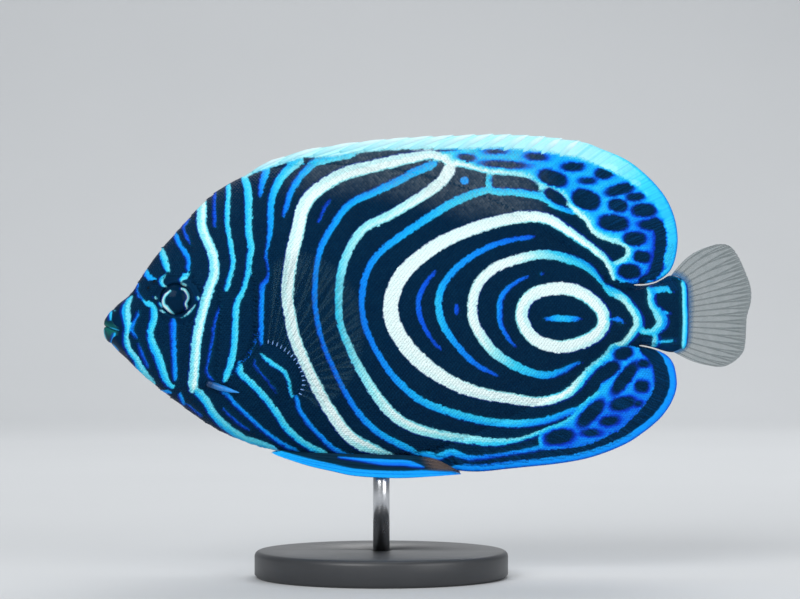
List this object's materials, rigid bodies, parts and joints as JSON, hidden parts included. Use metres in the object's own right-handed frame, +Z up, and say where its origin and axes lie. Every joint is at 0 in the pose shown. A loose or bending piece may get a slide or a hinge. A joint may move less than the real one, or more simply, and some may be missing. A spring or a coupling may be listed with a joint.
{
  "type": "juvenile emperor angelfish model",
  "caption": "Still life-size model of a juvenile emperor angelfish with spread fins, held level over a round base by a short rod.",
  "frame": {"origin": "centre of the underside of the round base, on the surface that the model stands on", "axes": "+Z up, -X towards the fish's snout, -Y towards the fish's left side"},
  "size_m": [0.0973, 0.038, 0.0662],
  "materials": {
    "scaled_skin": "fine wet-looking scales, navy with white, cyan and blue rings",
    "spiny_fin": "scaled membrane with pale streaks",
    "soft_fin": "scaled membrane with a blue network",
    "clear_fin": "thin, almost clear membrane with fine rays",
    "paired_fin": "thin membrane with fine rays",
    "eye": "wet cornea over a dark iris with a pale ring",
    "stand_base": "satin dark grey",
    "stand_rod": "brushed"
  },
  "bodies": {
    "root": {"head": "scaled_skin", "trunk": "scaled_skin", "tail_peduncle": "scaled_skin", "eye_left": "eye", "eye_right": "eye", "dorsal_fin_spiny": "spiny_fin", "dorsal_fin_soft": "soft_fin", "anal_fin": "soft_fin", "caudal_fin": "clear_fin", "pectoral_fin_left": "paired_fin", "pectoral_fin_right": "paired_fin", "pelvic_fin_left": "paired_fin", "pelvic_fin_right": "paired_fin", "stand_base": "stand_base", "stand_rod": "stand_rod"}
  },
  "joints": []
}
